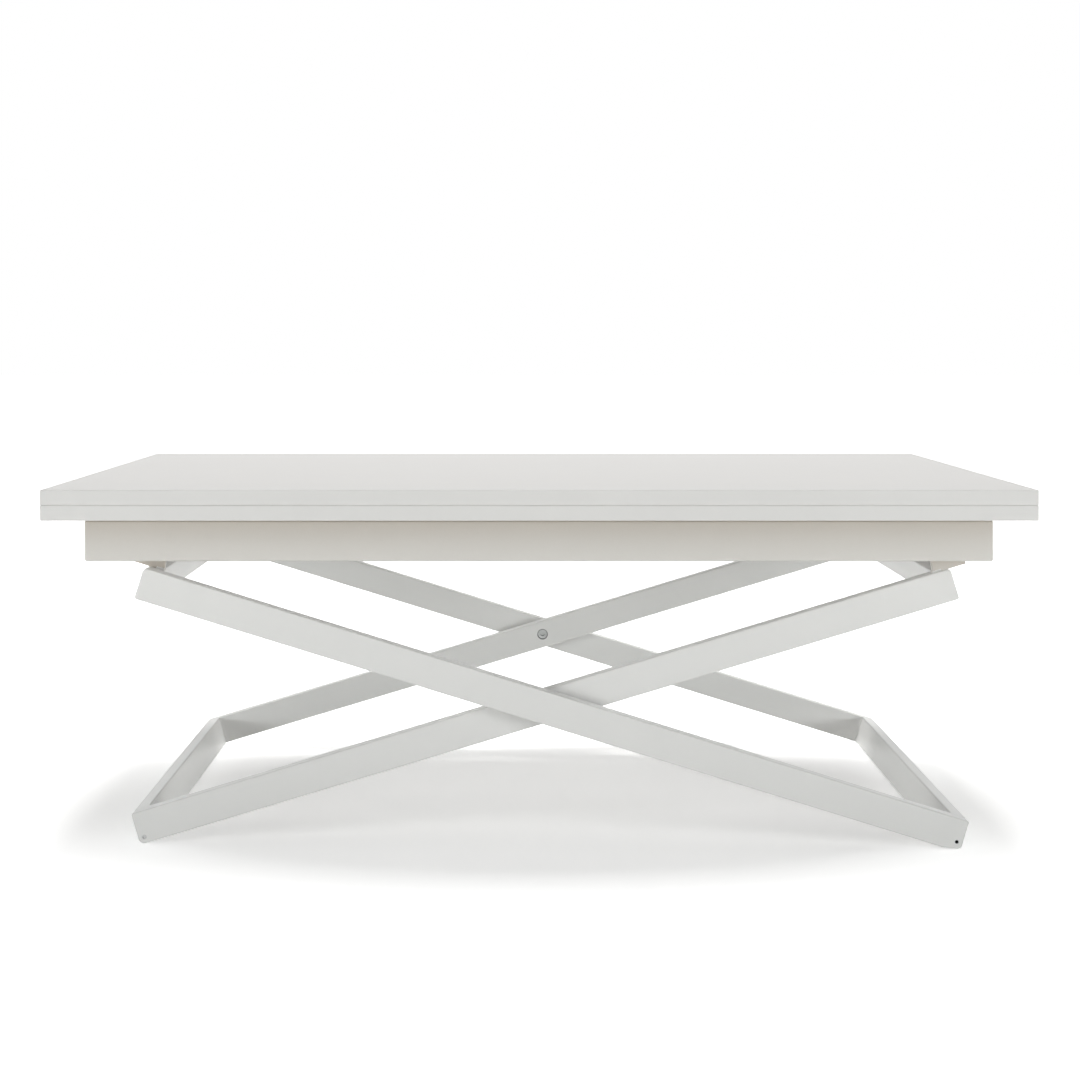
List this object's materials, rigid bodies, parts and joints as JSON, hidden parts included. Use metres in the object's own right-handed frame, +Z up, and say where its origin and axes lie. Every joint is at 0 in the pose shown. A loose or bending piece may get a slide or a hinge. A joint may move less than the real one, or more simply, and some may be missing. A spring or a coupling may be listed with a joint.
{
  "type": "convertible table",
  "caption": "White convertible table: folded double top on an apron over crossed tubular leg frames; it rises, swivels and unfolds from coffee height to dining height.",
  "frame": {"origin": "on the floor, under the middle of the top", "axes": "+X to the right along the top, +Y to the back, +Z up"},
  "size_m": [1.2, 0.7031, 0.4443],
  "materials": {
    "leaf_white": "satin white lacquer",
    "frame_white": "satin white powder coat",
    "steel": "zinc plated",
    "chrome": "polished",
    "black_metal": "satin black",
    "white_plastic": "moulded white",
    "grey_plastic": "moulded grey",
    "clear_plastic": "soft clear"
  },
  "bodies": {
    "right_feet": {"right_foot_axle": "steel", "right_foot_pads": "white_plastic"},
    "outer_legs": {"outer_front_beam": "frame_white", "outer_rear_beam": "frame_white", "outer_foot_bar": "frame_white", "outer_top_bar": "frame_white", "outer_lugs": "frame_white", "outer_lug_bushes": "grey_plastic", "centre_pivot_pins": "steel", "centre_pivot_nuts": "steel", "centre_pivot_washers": "steel"},
    "inner_legs": {"inner_front_beam": "frame_white", "inner_rear_beam": "frame_white", "inner_foot_bar": "frame_white", "inner_top_bar": "frame_white", "inner_lugs": "frame_white", "inner_lug_bushes": "grey_plastic", "centre_pivot_bushes": "grey_plastic", "left_foot_axle": "steel"},
    "front_roller": {"left_front_roller": "white_plastic"},
    "rear_roller": {"left_rear_roller": "white_plastic"},
    "apron": {"front_rail": "frame_white", "rear_rail": "frame_white", "left_end_rail": "frame_white", "right_end_rail": "frame_white", "rail_end_caps": "white_plastic", "swivel_beam": "frame_white", "swivel_bush": "grey_plastic", "swivel_bearing": "grey_plastic", "swivel_stop_pin": "steel", "leaf_glides": "white_plastic", "fixed_pivot_blocks": "grey_plastic", "fixed_pivot_bolts": "steel", "gas_cylinder": "black_metal", "gas_bracket": "frame_white", "gas_pin": "steel", "release_head": "black_metal", "release_guides": "grey_plastic"},
    "carriage": {"slider_blocks": "grey_plastic", "slider_shaft": "steel", "gas_rod": "chrome", "gas_rod_eye": "black_metal"},
    "release": {"release_rod": "steel", "release_handle": "white_plastic"},
    "lower_top": {"lower_leaf": "leaf_white", "swivel_plate": "steel", "swivel_plate_screws": "steel", "swivel_spindle": "steel", "swivel_nut": "steel", "lower_hinge_plates": "steel", "lower_hinge_screws": "steel", "hinge_pins": "steel", "leaf_bumpers": "clear_plastic"},
    "upper_top": {"upper_leaf": "leaf_white", "upper_hinge_plates": "steel", "upper_hinge_screws": "steel"}
  },
  "joints": [
    {"name": "lift", "type": "hinge", "parent": "right_feet", "child": "outer_legs", "pos_m": [0.51237, 0, 0.009], "axis": [0, 1, 0], "range_deg": [-6.5, 20.5]},
    {"name": "centre_pivot", "type": "hinge", "parent": "outer_legs", "child": "inner_legs", "pos_m": [0.012, 0, 0.17165], "axis": [0, 1, 0], "range_deg": [-41.5, 13.5]},
    {"name": "apron_pivot", "type": "hinge", "parent": "inner_legs", "child": "apron", "pos_m": [0.49921, 0, 0.37816], "axis": [0, 1, 0], "range_deg": [-7, 21]},
    {"name": "carriage_pivot", "type": "hinge", "parent": "outer_legs", "child": "carriage", "pos_m": [-0.4752, 0, 0.37816], "axis": [0, 1, 0], "range_deg": [-21, 7]},
    {"name": "front_roller_spin", "type": "hinge", "parent": "inner_legs", "child": "front_roller", "pos_m": [-0.48837, 0, 0.009], "axis": [0, 1, 0], "continuous": true},
    {"name": "rear_roller_spin", "type": "hinge", "parent": "inner_legs", "child": "rear_roller", "pos_m": [-0.48837, 0, 0.009], "axis": [0, 1, 0], "continuous": true},
    {"name": "release_pull", "type": "slide", "parent": "apron", "child": "release", "axis": [1, 0, 0], "range_m": [0, 0.01], "stiffness_N_per_m": 300, "springref_m": -0.002},
    {"name": "top_swivel", "type": "hinge", "parent": "apron", "child": "lower_top", "pos_m": [0.175, 0.175, 0.44426], "axis": [0, 0, 1], "range_deg": [0, 90]},
    {"name": "leaf_fold", "type": "hinge", "parent": "lower_top", "child": "upper_top", "pos_m": [0, 0.3505, 0.42571], "axis": [-1, 0, 0], "range_deg": [0, 180]}
  ],
  "couplings": [
    {"joint": "centre_pivot", "follows": "lift", "ratio": -2},
    {"joint": "apron_pivot", "follows": "lift", "ratio": 1},
    {"joint": "carriage_pivot", "follows": "lift", "ratio": -1}
  ]
}
